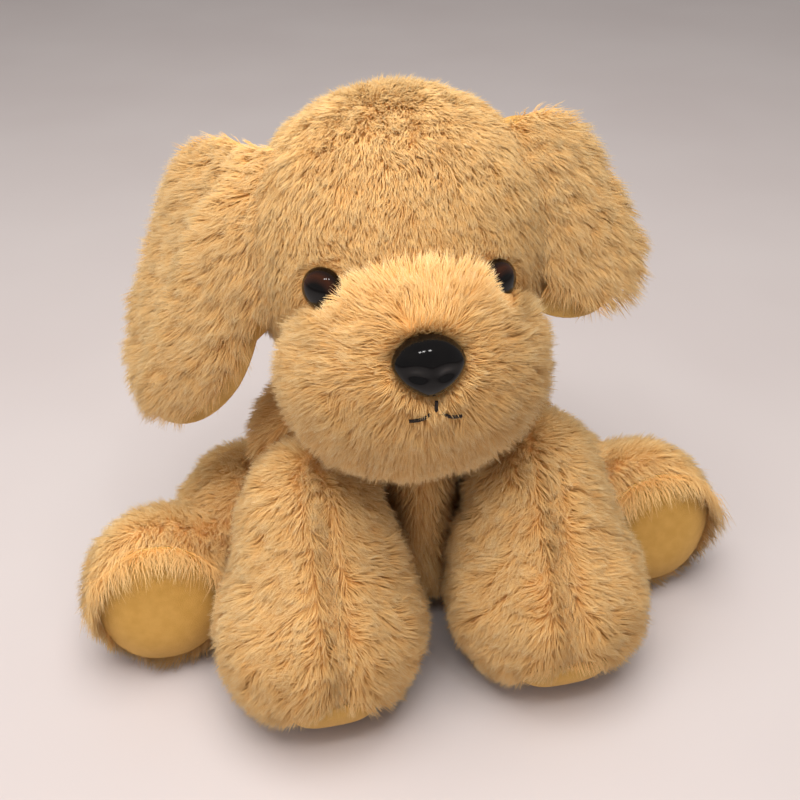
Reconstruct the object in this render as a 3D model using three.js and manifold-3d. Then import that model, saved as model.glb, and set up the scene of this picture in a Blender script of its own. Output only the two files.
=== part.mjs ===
// A stuffed puppy that sits on its haunches, its front legs straight and its hind feet pointing forward.
// Millimetres, +Z up. The puppy faces -Y, its own left side is +X, and the origin is under its seat.
// Every covering is a sewn shell, open where it is sewn to the next one, around a solid of fibre filling.
import * as THREE from "three";
import { mergeVertices } from "three/addons/utils/BufferGeometryUtils.js";
import Module from "manifold-3d";

const wasm = await Module();
wasm.setup();

// ---- Driving dimensions --------------------------------------------------------------------------------

const SKIN = 5; // backing cloth with its pressed pile
const GAP = 0.4; // between pieces that touch
const ROOM = 1.5; // between pieces that move past each other
const NOD_ROOM = 4.5; // around the top of the neck's plug, which the head tips over
const BLEND = 5; // how softly two lobes run into each other
const HEAD_X = -5; // the head flops a little to the puppy's right
const HEAD_TURN = -4; // degrees about +Z, as the head is sewn on

// The hinges: a point on each axis.
const NECK = [HEAD_X, -18, 130];
const SHOULDER = [42, -43, 82];
const HIP = [54, 8, 44];
const TAIL_ROOT = [0, 50, 26];
const SWINGS = {
  nod: [-12, 3],
  frontLeg: [0, 17, 35],
  hindLeg: [0, 25],
  tail: [-25, 25],
};

// Each soft form is a few ellipsoids that run into each other, seen from a point in its middle.
const lobe = (centre, radii, turn = [0, 0, 0]) => ({ centre, radii, turn });

const TORSO = {
  at: [0, -4, 64],
  lobes: [
    lobe([0, 8, 44], [78, 56, 50]),
    lobe([0, -5, 80], [66, 48, 46]),
  ],
};
const HEAD = {
  at: [HEAD_X, -21, 180],
  lobes: [
    lobe([HEAD_X, -21, 182], [56, 53, 54]),
    lobe([HEAD_X, -24, 166], [50, 42, 38]),
  ],
};
const MUZZLE = {
  at: [HEAD_X, -58, 150],
  lobes: [
    lobe([HEAD_X, -59, 158], [37, 31, 46]),
    lobe([HEAD_X + 14, -58, 148], [33, 30, 34]),
    lobe([HEAD_X - 14, -58, 148], [33, 30, 34]),
  ],
};
const TAIL = {
  at: [0, 66, 24],
  lobes: [
    lobe([0, 60, 24], [15, 17, 15]),
    lobe([0, 78, 27], [12, 18, 12], [14, 0, 0]),
  ],
};

// The left limbs; the right ones are their mirror images.
const FRONT_LEG = {
  at: [44, -56, 56],
  lobes: [
    lobe(SHOULDER, [29, 27, 27]),
    lobe([44, -57, 62], [31, 29, 34], [-16, 0, 0]),
    lobe([47, -69, 36], [42, 39, 37]),
  ],
  sole: { at: [47, -95.5, 16], facing: [0, -0.8, -0.6] },
};
const HIND_LEG = {
  at: [88, -8, 40],
  lobes: [
    lobe([64, 8, 36], [34, 37, 35]),
    lobe([108, -25, 33], [34, 32, 35]),
  ],
  sole: { at: [108, -44, 27], facing: [0.05, -0.98, 0.17] },
};

// An ear is a padded leaf: the middle of its sewn edge, the leaf's middle and the way its fur looks.
const EAR_LEFT = {
  root: [33, -24.5, 228],
  middle: [55, -35, 195.5],
  looks: [0.386, -0.757, 0.53],
  radii: [41, 28, 9],
};
const EAR_RIGHT = {
  root: [-51.5, -11, 222],
  middle: [-80, -16, 167],
  looks: [-0.728, -0.592, 0.346],
  radii: [58, 36, 9],
};
const LINING = 3;

const EYE = { radius: 7.6, dome: 5.6, stem: 1.8, length: 13, across: 33, up: 2 };
const FACE_TURN = -3; // degrees by which both eyes are set round to the puppy's right
const NOSE_TIP = [HEAD_X, -87, 166];
const NOSE_FACING = [0, -0.94, 0.34];
const WASHER = { radius: 6.5, thick: 1.6, clear: 0.4 };
const THREAD = 0.6; // radius of the mouth's embroidery

const COLOURS = {
  fur: [0xdcae72, 0.95],
  muzzleFur: [0xe0b67e, 0.95],
  suede: [0xc6964e, 0.85],
  lining: [0xcfa268, 0.85],
  filling: [0xf1efe9, 1],
  eye: [0x2a1308, 0.08],
  nose: [0x0c0b0b, 0.15],
  washer: [0xf2f2f0, 0.4],
  thread: [0x14110f, 0.7],
};

// ---- Solids --------------------------------------------------------------------------------------------

const vector = (p) => new THREE.Vector3(...p);
const UP = new THREE.Vector3(0, 0, 1);
const LATHE_AXIS = new THREE.Vector3(0, 1, 0);

// A closed three.js geometry as a solid that can be cut and joined.
function solid(geometry, matrix = new THREE.Matrix4()) {
  const bare = geometry.clone().applyMatrix4(matrix);
  bare.deleteAttribute("normal");
  bare.deleteAttribute("uv");
  const merged = mergeVertices(bare, 1e-3);
  return new wasm.Manifold(
    new wasm.Mesh({
      numProp: 3,
      vertProperties: new Float32Array(merged.attributes.position.array),
      triVerts: new Uint32Array(merged.index.array),
    }),
  );
}

// Stands a geometry at a point with one of its own directions turned to another.
function stood(at, from, to) {
  const turn = new THREE.Quaternion().setFromUnitVectors(from, vector(to).normalize());
  return new THREE.Matrix4().compose(vector(at), turn, new THREE.Vector3(1, 1, 1));
}

// How far a point is outside the lobes, all of them grown by some millimetres; below 0 is inside.
function outside(point, lobes, grow) {
  let sum = 0;
  for (const { centre, radii, turn } of lobes) {
    const [x, y, z] = turn.map(THREE.MathUtils.degToRad);
    const local = point.clone().sub(vector(centre));
    local.applyEuler(new THREE.Euler(-x, -y, -z, "ZYX"));
    const r = radii.map((radius) => radius + grow);
    const reach = Math.hypot(local.x / r[0], local.y / r[1], local.z / r[2]);
    sum += Math.exp(((1 - reach) * Math.min(...r)) / BLEND);
  }
  return -BLEND * Math.log(sum);
}

// The point where a line from a form's middle leaves its lobes.
function surfacePoint({ at, lobes }, way, grow = 0) {
  const FAR = 130;
  const STEP = 1.5;
  const HALVINGS = 12;
  const pointAt = (reach) => vector(at).addScaledVector(way, reach);
  let inner = FAR;
  while (inner > 0 && outside(pointAt(inner), lobes, grow) > 0) inner -= STEP;
  let outer = inner + STEP;
  for (let n = 0; n < HALVINGS; n++) {
    const half = (inner + outer) / 2;
    if (outside(pointAt(half), lobes, grow) > 0) outer = half;
    else inner = half;
  }
  return pointAt(inner);
}

// How finely a form is faceted, as columns and rows of a sphere.
const FINE = [20, 14];
const MEDIUM = [14, 11];
const COARSE = [12, 8];

// A sphere whose every vertex is carried out to the surface of the lobes.
function blob(form, facets, grow = 0) {
  const geometry = new THREE.SphereGeometry(1, ...facets).rotateX(Math.PI / 2);
  const place = geometry.attributes.position;
  for (let i = 0; i < place.count; i++) {
    const way = new THREE.Vector3().fromBufferAttribute(place, i).normalize();
    place.setXYZ(i, ...surfacePoint(form, way, grow).toArray());
  }
  return solid(geometry);
}

// Everything beyond a plane, as a large box.
function beyond(at, facing) {
  const SIZE = 600;
  const box = new THREE.BoxGeometry(SIZE, SIZE, SIZE).translate(0, 0, SIZE / 2);
  return solid(box, stood(at, UP, facing));
}

function rod(from, along, radius, length, sides = 16) {
  const cylinder = new THREE.CylinderGeometry(radius, radius, length, sides);
  return solid(cylinder.translate(0, length / 2, 0), stood(from, LATHE_AXIS, along));
}

// A turned piece; its profile is [radius, height along the direction] from axis to axis.
function turned(profile, at, along, sides = 12) {
  const points = profile.map(([radius, height]) => new THREE.Vector2(radius, height));
  return solid(new THREE.LatheGeometry(points, sides), stood(at, LATHE_AXIS, along));
}

// A round thread through points.
function thread(points) {
  const section = new THREE.Shape().absarc(0, 0, THREAD, 0, 2 * Math.PI);
  const extrudePath = new THREE.CatmullRomCurve3(points);
  const options = { extrudePath, steps: 5, curveSegments: 4, bevelEnabled: false };
  return solid(new THREE.ExtrudeGeometry(section, options));
}

const joined = (solids) => solids.reduce((all, one) => all.add(one));
const without = (made, cuts) => cuts.reduce((left, cut) => left.subtract(cut), made);

// The solid turned about an axis through a point.
function turnedAbout(made, point, axis, degrees) {
  const angle = THREE.MathUtils.degToRad(degrees);
  const turn = new THREE.Matrix4().makeRotationAxis(vector(axis).normalize(), angle);
  const there = new THREE.Matrix4().makeTranslation(vector(point));
  const back = new THREE.Matrix4().makeTranslation(vector(point).negate());
  return made.transform(there.multiply(turn).multiply(back).elements);
}

// The room that a form takes up as it turns about an axis through a point.
function swept(form, point, axis, angles) {
  const room = blob(form, MEDIUM, ROOM);
  return joined(angles.map((angle) => turnedAbout(room, point, axis, angle)));
}

const mirrored = ([x, y, z]) => [-x, y, z];
const mirroredForm = ({ at, lobes, sole }) => ({
  at: mirrored(at),
  lobes: lobes.map(({ centre, radii, turn: [x, y, z] }) => lobe(mirrored(centre), radii, [x, -y, -z])),
  sole: { at: mirrored(sole.at), facing: mirrored(sole.facing) },
});

const floorBelow = (height) => beyond([0, 0, height], [0, 0, -1]);

// ---- Legs ----------------------------------------------------------------------------------------------

// A leg as its sewn pieces. The cover is open at the armhole, and the sole closes its foot.
function leg(form, hinge) {
  const ARMHOLE = { radius: 15, length: 60 };
  const inwards = [-Math.sign(hinge[0]), 0, 0];
  const outer = blob(form, MEDIUM).subtract(floorBelow(0));
  const inner = blob(form, COARSE, -SKIN).subtract(floorBelow(SKIN));
  const filling = blob(form, COARSE, -SKIN - GAP).subtract(floorBelow(SKIN + GAP));
  const { at, facing } = form.sole;
  const foot = vector(facing).normalize();
  const soleBack = vector(at).addScaledVector(foot, -SKIN).toArray();
  const seam = vector(at).addScaledVector(foot, GAP - SKIN).toArray();
  const fillingEnd = vector(at).addScaledVector(foot, -SKIN - GAP).toArray();
  const armhole = rod(hinge, inwards, ARMHOLE.radius, ARMHOLE.length);
  return {
    cover: without(outer, [inner, armhole, beyond(soleBack, facing)]),
    sole: outer.intersect(beyond(seam, facing)).subtract(beyond(at, facing)),
    stuffing: filling.subtract(beyond(fillingEnd, facing)),
  };
}

const SIDES = ["left", "right"];
const FORWARD_SWING = { left: [-1, 0, 0], right: [-1, 0, 0] };
const SIDEWAYS_LIFT = { left: [0, -1, 0], right: [0, 1, 0] };
const LIMBS = {
  front_leg: { hinge: SHOULDER, axes: FORWARD_SWING, form: FRONT_LEG, angles: SWINGS.frontLeg },
  hind_leg: { hinge: HIP, axes: SIDEWAYS_LIFT, form: HIND_LEG, angles: SWINGS.hindLeg },
};
const legs = {};
const legRooms = [];
for (const [name, { hinge, axes, form, angles }] of Object.entries(LIMBS)) {
  for (const side of SIDES) {
    const ownForm = side === "left" ? form : mirroredForm(form);
    const ownHinge = side === "left" ? hinge : mirrored(hinge);
    legs[`${name}_${side}`] = leg(ownForm, ownHinge);
    legRooms.push(swept(ownForm, ownHinge, axes[side], angles));
  }
}

// ---- Torso, neck and tail ------------------------------------------------------------------------------

const NECK_HOLE = { radius: 19, length: 40 };
const NECK_PLUG = { radius: 17, low: -16, high: 12, sides: 20 };
const neckLow = [NECK[0], NECK[1], NECK[2] + NECK_PLUG.low];
const neckPlug = (grow) =>
  rod(
    [neckLow[0], neckLow[1], neckLow[2] - grow],
    [0, 0, 1],
    NECK_PLUG.radius + grow,
    NECK_PLUG.high - NECK_PLUG.low + 2 * grow,
    NECK_PLUG.sides,
  );
const neckHole = rod(neckLow, [0, 0, 1], NECK_HOLE.radius, NECK_HOLE.length, NECK_PLUG.sides);

const tailRoom = swept(TAIL, TAIL_ROOT, [0, 0, 1], SWINGS.tail);
const headRoom = swept(HEAD, NECK, [1, 0, 0], SWINGS.nod);
const rooms = [...legRooms, tailRoom, headRoom];

const torsoOuter = blob(TORSO, FINE).subtract(floorBelow(0));
const torsoInner = blob(TORSO, MEDIUM, -SKIN).subtract(floorBelow(SKIN));
const torsoCover = without(torsoOuter, [...rooms, torsoInner, neckHole]);
const torsoFilling = blob(TORSO, MEDIUM, -SKIN - GAP).subtract(floorBelow(SKIN + GAP));
const torsoStuffing = without(torsoFilling, [...rooms, neckPlug(ROOM)]);

const TAIL_HOLE = { radius: 8, length: 40, end: [0, 54, 26] };
const tailHole = rod(TAIL_HOLE.end, [0, -1, 0], TAIL_HOLE.radius, TAIL_HOLE.length);
const tailCover = without(blob(TAIL, COARSE), [blob(TAIL, COARSE, -SKIN), tailHole]);
const tailStuffing = blob(TAIL, COARSE, -SKIN - GAP);

// ---- Head ----------------------------------------------------------------------------------------------

// The eyes are plastic domes on a stem, held by a washer behind the cloth.
function eyeWay(side) {
  const degrees = side === "left" ? EYE.across : -EYE.across;
  const across = THREE.MathUtils.degToRad(degrees + FACE_TURN);
  const up = THREE.MathUtils.degToRad(EYE.up);
  const level = Math.cos(up);
  return new THREE.Vector3(Math.sin(across) * level, -Math.cos(across) * level, Math.sin(up));
}

function domeProfile(grow) {
  const { radius, dome, stem, length } = EYE;
  const RIM = 1.2;
  const profile = [
    [0, -length - grow],
    [stem + grow, -length - grow],
    [stem + grow, -grow],
    [radius + grow, -grow],
    [radius + grow, RIM],
  ];
  const STEPS = 4;
  for (let i = 1; i <= STEPS; i++) {
    const angle = ((i / STEPS) * Math.PI) / 2;
    const r = i === STEPS ? 0 : (radius + grow) * Math.cos(angle);
    profile.push([r, RIM + (dome + grow - RIM) * Math.sin(angle)]);
  }
  return profile;
}

function washer(at, along) {
  const { radius, thick, clear } = WASHER;
  const hole = EYE.stem + clear;
  const ring = [
    [hole, 0],
    [radius, 0],
    [radius, thick],
    [hole, thick],
    [hole, 0],
  ];
  return turned(ring, at, along);
}

// A fitting on a form: where the cloth is, the way out, and the room its washer needs in the filling.
function fitting(at, way) {
  const behind = at.clone().addScaledVector(way, -SKIN - GAP - WASHER.thick);
  const pocket = at.clone().addScaledVector(way, -SKIN - WASHER.thick - 2 * GAP);
  const deep = 2 * (SKIN + WASHER.thick);
  return {
    at: at.toArray(),
    way: way.toArray(),
    washer: washer(behind.toArray(), way.toArray()),
    pocket: rod(pocket.toArray(), way.toArray(), WASHER.radius + GAP, deep),
  };
}

const EYE_SINK = 2.5; // how deep the dome's back sits in the pile
const eyes = {};
for (const side of SIDES) {
  const way = eyeWay(side);
  const eyeForm = { ...HEAD, at: HEAD.lobes[0].centre };
  const onHead = surfacePoint(eyeForm, way).addScaledVector(way, -EYE_SINK);
  const fit = fitting(onHead, way);
  eyes[side] = {
    ...fit,
    made: turned(domeProfile(0), fit.at, fit.way),
    socket: turned(domeProfile(GAP), fit.at, fit.way),
  };
}

// The nose is a rounded triangle with its point down.
const NOSE = {
  at: NOSE_TIP,
  lobes: [
    lobe([HEAD_X + 4.4, -87.5, 168.4], [5.9, 6.6, 5]),
    lobe([HEAD_X - 4.4, -87.5, 168.4], [5.9, 6.6, 5]),
    lobe([HEAD_X, -87, 163.4], [5.6, 6.2, 5]),
  ],
};
const NOSE_SEAT = -1.5; // from the tip's point back to the flat against the cloth
const noseWay = vector(NOSE_FACING).normalize();
const noseInwards = noseWay.clone().negate().toArray();
const noseBase = vector(NOSE_TIP).addScaledVector(noseWay, NOSE_SEAT);
const noseFit = fitting(noseBase, noseWay);
const noseStem = (grow) =>
  rod(noseBase.toArray(), noseInwards, EYE.stem + grow, EYE.length + grow);
function noseBody(grow) {
  const back = noseBase.clone().addScaledVector(noseWay, -grow).toArray();
  return blob(NOSE, COARSE, grow).subtract(beyond(back, noseInwards));
}
const nose = noseBody(0).add(noseStem(0));
const noseSocket = noseBody(GAP).add(noseStem(GAP));

const headOuter = blob(HEAD, FINE);
const headCore = blob(HEAD, MEDIUM, -SKIN);
const headFilling = blob(HEAD, MEDIUM, -SKIN - GAP);
const sockets = SIDES.map((side) => eyes[side].socket);
const pockets = SIDES.flatMap((side) => [eyes[side].pocket, eyes[side].socket]);
const headCover = without(headOuter, [headCore, neckHole, noseFit.pocket, noseSocket, ...sockets]);
const headStuffing = without(headFilling, [
  neckPlug(NOD_ROOM),
  noseFit.pocket,
  noseSocket,
  ...pockets,
]);

const againstHead = blob(HEAD, FINE, GAP);
const muzzleOuter = blob(MUZZLE, FINE);
const muzzleCore = blob(MUZZLE, COARSE, -SKIN);
const muzzleFilling = blob(MUZZLE, COARSE, -SKIN - GAP);
const muzzleCuts = [againstHead, neckPlug(ROOM), noseSocket, ...sockets];
const muzzleCover = without(muzzleOuter, [...muzzleCuts, muzzleCore]);
const muzzleStuffing = without(muzzleFilling, [...muzzleCuts, noseFit.pocket]);

// The mouth is three stitched strokes under the nose, each through points of [across, height].
const MOUTH_X = HEAD_X + 1.5;
const MOUTH_STROKES = {
  middle: [
    [0, 154.6],
    [0, 151.6],
  ],
  left: [
    [1.4, 150.8],
    [4, 149.2],
    [7.2, 148.9],
  ],
  right: [
    [-1.4, 150.8],
    [-4, 149.2],
    [-7.2, 148.9],
  ],
};
function mouthStroke(points) {
  const onMuzzle = points.map(([x, z]) => {
    const way = new THREE.Vector3(MOUTH_X + x, NOSE_TIP[1], z).sub(vector(MUZZLE.at)).normalize();
    return surfacePoint(MUZZLE, way).addScaledVector(way, THREAD + GAP);
  });
  return thread(onMuzzle);
}

// ---- Ears ----------------------------------------------------------------------------------------------

const headClear = blob(HEAD, FINE, ROOM);
function ear({ root, middle, looks, radii }) {
  const face = vector(looks).normalize();
  const long = vector(middle).sub(vector(root)).projectOnPlane(face).normalize();
  const wide = new THREE.Vector3().crossVectors(face, long);
  const turn = new THREE.Matrix4().makeBasis(long, wide, face).setPosition(vector(middle));
  const leaf = solid(new THREE.SphereGeometry(1, ...MEDIUM).scale(...radii).applyMatrix4(turn));
  const split = (offset) => vector(middle).addScaledVector(face, offset).toArray();
  const back = LINING - radii[2];
  const free = leaf.subtract(headClear);
  return {
    fur: free.intersect(beyond(split(back + GAP), looks)),
    lining: free.subtract(beyond(split(back), looks)),
  };
}
const ears = { left: ear(EAR_LEFT), right: ear(EAR_RIGHT) };

// ---- Assembly ------------------------------------------------------------------------------------------

function mesh(name, made, [color, roughness]) {
  const { vertProperties, triVerts } = made.getMesh();
  const geometry = new THREE.BufferGeometry();
  geometry.setAttribute("position", new THREE.BufferAttribute(vertProperties, 3));
  geometry.setIndex(new THREE.BufferAttribute(triVerts, 1));
  geometry.computeVertexNormals();
  const material = new THREE.MeshStandardMaterial({ color, roughness, metalness: 0 });
  const part = new THREE.Mesh(geometry, material);
  part.name = name;
  return part;
}

const body = new THREE.Group();
body.add(
  mesh("torso_cover", torsoCover, COLOURS.fur),
  mesh("torso_stuffing", torsoStuffing, COLOURS.filling),
  mesh("neck_stuffing", neckPlug(0), COLOURS.filling),
  mesh("tail_cover", tailCover, COLOURS.fur),
  mesh("tail_stuffing", tailStuffing, COLOURS.filling),
);
for (const [name, { cover, sole, stuffing }] of Object.entries(legs)) {
  body.add(
    mesh(`${name}_cover`, cover, COLOURS.fur),
    mesh(`${name}_sole`, sole, COLOURS.suede),
    mesh(`${name}_stuffing`, stuffing, COLOURS.filling),
  );
}

const head = new THREE.Group();
const headMiddle = vector(HEAD.at);
head.rotation.z = THREE.MathUtils.degToRad(HEAD_TURN);
head.position.copy(headMiddle).sub(headMiddle.clone().applyEuler(head.rotation));
head.add(
  mesh("head_cover", headCover, COLOURS.fur),
  mesh("head_stuffing", headStuffing, COLOURS.filling),
  mesh("muzzle_cover", muzzleCover, COLOURS.muzzleFur),
  mesh("muzzle_stuffing", muzzleStuffing, COLOURS.filling),
  mesh("nose", nose, COLOURS.nose),
  mesh("nose_washer", noseFit.washer, COLOURS.washer),
);
for (const side of SIDES) {
  head.add(
    mesh(`eye_${side}`, eyes[side].made, COLOURS.eye),
    mesh(`eye_${side}_washer`, eyes[side].washer, COLOURS.washer),
    mesh(`ear_${side}_fur`, ears[side].fur, COLOURS.fur),
    mesh(`ear_${side}_lining`, ears[side].lining, COLOURS.lining),
  );
}
for (const [name, points] of Object.entries(MOUTH_STROKES)) {
  head.add(mesh(`mouth_stitch_${name}`, mouthStroke(points), COLOURS.thread));
}

const group = new THREE.Group();
group.add(body, head);

export default group;
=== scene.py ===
"""The looks of a sitting plush puppy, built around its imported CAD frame.

The coverings of the torso, head, muzzle, tail and legs are cloth skins taken from the CAD solids
they stand for; the ears, soles, eyes, nose and collar are shaped by rules. The pile is real
strands that grow from the cloth. All lengths are metres in the frame's own coordinates:
the puppy faces -Y and sits on z = 0.
"""

import itertools
import math

import bpy
import numpy as np
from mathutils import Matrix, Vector, kdtree
from mathutils.bvhtree import BVHTree


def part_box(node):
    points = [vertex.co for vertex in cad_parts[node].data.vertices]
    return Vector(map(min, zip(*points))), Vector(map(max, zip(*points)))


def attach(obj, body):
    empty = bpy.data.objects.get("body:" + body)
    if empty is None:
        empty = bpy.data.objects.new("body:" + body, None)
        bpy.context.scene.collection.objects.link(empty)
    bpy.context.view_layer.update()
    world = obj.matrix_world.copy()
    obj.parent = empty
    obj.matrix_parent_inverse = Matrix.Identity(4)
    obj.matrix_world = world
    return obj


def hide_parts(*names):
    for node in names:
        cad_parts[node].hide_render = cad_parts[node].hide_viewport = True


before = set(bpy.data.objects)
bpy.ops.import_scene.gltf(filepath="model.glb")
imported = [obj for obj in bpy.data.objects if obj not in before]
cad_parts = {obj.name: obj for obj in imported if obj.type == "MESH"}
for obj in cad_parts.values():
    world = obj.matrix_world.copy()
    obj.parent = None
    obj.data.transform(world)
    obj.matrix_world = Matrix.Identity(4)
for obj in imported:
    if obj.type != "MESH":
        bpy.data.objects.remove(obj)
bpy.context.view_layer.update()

MM = 0.001
UP = np.array([0.0, 0.0, 1.0])
rng = np.random.default_rng(11)


def mm(*values):
    return np.array(values, float) * MM


# ---- Camera ----

CAMERA_PLACE = mm(-80.5, -362.4, 345.0)
CAMERA_TARGET = mm(-19.0, -87.3, 154.9)
FIELD_OF_VIEW = 41.6

camera = bpy.data.objects.new("camera", bpy.data.cameras.new("camera"))
bpy.context.scene.collection.objects.link(camera)
camera.location = CAMERA_PLACE
camera.rotation_euler = Vector(CAMERA_TARGET - CAMERA_PLACE).to_track_quat("-Z", "Y").to_euler()
camera.data.angle = math.radians(FIELD_OF_VIEW)
bpy.context.scene.camera = camera


# ---- The CAD's driving points that the looks need too ----

HEAD_TURN = -4
HEAD_AXIS = mm(-5, -21, 0)


def with_head(point, is_direction=False):
    """A point or direction of the head before it is turned on the neck, after the turn."""
    angle = math.radians(HEAD_TURN)
    pivot = np.zeros(3) if is_direction else HEAD_AXIS
    x, y, z = np.asarray(point, float) - pivot
    turned = [
        x * math.cos(angle) - y * math.sin(angle),
        x * math.sin(angle) + y * math.cos(angle),
        z,
    ]
    return np.array(turned) + pivot


def unit(vectors):
    lengths = np.linalg.norm(vectors, axis=-1, keepdims=True)
    return vectors / np.maximum(lengths, 1e-12)


CROWN = with_head(mm(-5, 42, 226))
NOSE = with_head(mm(-5, -87, 166))
NOSE_FACING = with_head(unit(np.array([0, -0.94, 0.34])), is_direction=True)
NECK = mm(-5, -18, 130)


# ---- Mesh helpers ----


def mesh_object(name, vertices, faces, material):
    """A mesh object from arrays of points and faces, with its material."""
    mesh = bpy.data.meshes.new(name)
    mesh.from_pydata(np.asarray(vertices).tolist(), [], [list(map(int, f)) for f in faces])
    mesh.polygons.foreach_set("use_smooth", [True] * len(mesh.polygons))
    mesh.materials.append(material)
    mesh.update()
    made = bpy.data.objects.new(name, mesh)
    bpy.context.scene.collection.objects.link(made)
    return made


def node_triangles(names):
    """The points and triangles of some CAD nodes, together."""
    points, triangles = [], []
    for name in names:
        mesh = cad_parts[name].data
        mesh.calc_loop_triangles()
        base = sum(len(p) for p in points)
        points.append(np.array([v.co for v in mesh.vertices]))
        triangles += [[base + i for i in t.vertices] for t in mesh.loop_triangles]
    return np.vstack(points), np.array(triangles)


def vertex_normals(vertices, triangles):
    a, b, c = (vertices[triangles[:, k]] for k in range(3))
    facing = np.cross(b - a, c - a)
    total = np.zeros_like(vertices)
    for k in range(3):
        np.add.at(total, triangles[:, k], facing)
    return unit(total)


def sphere(subdivisions):
    """The points and triangles of a ball of triangles of about the same size."""
    NEIGHBOURS = 1.1  # just over the edge of an icosahedron in a ball of radius 1
    golden = (1 + math.sqrt(5)) / 2
    corners = []
    for a in (-1, 1):
        for b in (-golden, golden):
            corners += [[0, a, b], [a, b, 0], [b, 0, a]]
    points = unit(np.array(corners, float))
    near = np.linalg.norm(points[:, None] - points[None], axis=2) < NEIGHBOURS
    triangles = [
        three
        for three in itertools.combinations(range(len(points)), 3)
        if all(near[pair] for pair in itertools.combinations(three, 2))
    ]
    triangles = np.array(triangles)
    a, b, c = (points[triangles[:, k]] for k in range(3))
    inwards = np.einsum("ij,ij->i", np.cross(b - a, c - a), a) < 0
    triangles[inwards] = triangles[inwards][:, ::-1]
    for _ in range(subdivisions):
        points, triangles = halved(points, triangles)
        points = unit(points)
    return points, triangles


def halved(points, triangles):
    """Each triangle as four, with shared points at the middles of its sides."""
    sides = np.vstack([triangles[:, [0, 1]], triangles[:, [1, 2]], triangles[:, [2, 0]]])
    pairs, which = np.unique(np.sort(sides, axis=1), axis=0, return_inverse=True)
    middles = (points[pairs[:, 0]] + points[pairs[:, 1]]) / 2
    ab, bc, ca = (which.reshape(3, -1) + len(points)).tolist()
    a, b, c = triangles.T
    finer = [(a, ab, ca), (ab, b, bc), (ca, bc, c), (ab, bc, ca)]
    return np.vstack([points, middles]), np.vstack([np.stack(t, axis=1) for t in finer])


def smoothed(values, triangles, rounds):
    """Values at the points of a mesh, each drawn to the average of its neighbours."""
    sides = np.vstack([triangles[:, [0, 1]], triangles[:, [1, 2]], triangles[:, [2, 0]]])
    share = np.bincount(sides[:, 0], minlength=len(values)).astype(float)
    for _ in range(rounds):
        total = np.bincount(sides[:, 0], weights=values[sides[:, 1]], minlength=len(values))
        values = (values + total / share) / 2
    return values


# ---- Materials ----


def linear(rgb):
    """A colour given as sRGB from 0 to 255, as the shader's linear values."""
    share = np.array(rgb, float) / 255
    low = share / 12.92
    high = ((share + 0.055) / 1.055) ** 2.4
    return (*np.where(share <= 0.04045, low, high), 1.0)


class Shader:
    """A material's nodes, with the Principled shader's constants set on its own sockets."""

    def __init__(self, name, **constants):
        self.material = bpy.data.materials.new(name)
        self.material.use_nodes = True
        self.nodes = self.material.node_tree.nodes
        self.shader = self.nodes["Principled BSDF"]
        for socket, value in constants.items():
            self.shader.inputs[socket.replace("_", " ")].default_value = value

    def add(self, kind, **settings):
        node = self.nodes.new(kind)
        for name, value in settings.items():
            setattr(node, name, value)
        return node

    def link(self, source, target):
        self.material.node_tree.links.new(source, target)

    def ramp(self, source, stops):
        """A colour ramp; stops are (position, colour), with colours as sRGB."""
        ramp = self.add("ShaderNodeValToRGB")
        elements = ramp.color_ramp.elements
        while len(elements) < len(stops):
            elements.new(0.5)
        for element, (position, colour) in zip(elements, stops):
            element.position = position
            element.color = linear(colour)
        self.link(source, ramp.inputs["Fac"])
        return ramp.outputs["Color"]

    def noise(self, scale, detail=2.0, coordinates="Object"):
        place = self.add("ShaderNodeTexCoord")
        noise = self.add("ShaderNodeTexNoise")
        noise.inputs["Scale"].default_value = scale
        noise.inputs["Detail"].default_value = detail
        self.link(place.outputs[coordinates], noise.inputs["Vector"])
        return noise.outputs["Fac"]

    def colour(self, source):
        self.link(source, self.shader.inputs["Base Color"])

    def bump(self, height, distance, strength=1.0):
        bump = self.add("ShaderNodeBump")
        bump.inputs["Distance"].default_value = distance
        bump.inputs["Strength"].default_value = strength
        self.link(height, bump.inputs["Height"])
        self.link(bump.outputs["Normal"], self.shader.inputs["Normal"])


PALETTE = "OFBake"  # the strands' map: across it their tone, and up it the way from root to tip


def fur_material():
    """Golden beige pile with painted shade from root to tip: deeper and redder at the roots, where
    shade falls deep in the pile, and cream at the tips.
    """
    made = Shader(
        "golden_fur",
        Roughness=0.8,
        Specular_IOR_Level=0.15,
        Sheen_Weight=0.15,
        Sheen_Roughness=0.5,
        Sheen_Tint=linear((255, 216, 156)),
    )
    place = made.add("ShaderNodeUVMap", uv_map=PALETTE)
    parts = made.add("ShaderNodeSeparateXYZ")
    made.link(place.outputs["UV"], parts.inputs["Vector"])
    # painted shade: this ramp darkens each strand towards its root, standing in for the shade deep
    # in the pile
    along = made.ramp(
        parts.outputs["Y"],
        [
            (0.0, (242, 180, 104)),
            (0.35, (249, 200, 130)),
            (0.75, (254, 215, 152)),
            (1.0, (255, 235, 192)),
        ],
    )
    tone = made.ramp(
        parts.outputs["X"],
        [(0.0, (238, 214, 186)), (0.5, (250, 242, 232)), (1.0, (255, 255, 255))],
    )
    both = made.add("ShaderNodeMix", data_type="RGBA", blend_type="MULTIPLY")
    both.inputs["Factor"].default_value = 1.0
    made.link(along, both.inputs["A"])
    made.link(tone, both.inputs["B"])
    made.colour(both.outputs["Result"])
    return made.material


def cloth_material(name, dark, light, grain, depth, **constants):
    """A napped or knitted cloth: its colour wanders between two tones and its nap is a fine bump."""
    made = Shader(name, **constants)
    made.colour(made.ramp(made.noise(grain / 12), [(0.3, dark), (0.7, light)]))
    made.bump(made.noise(grain, detail=4.0), depth)
    return made.material


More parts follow.
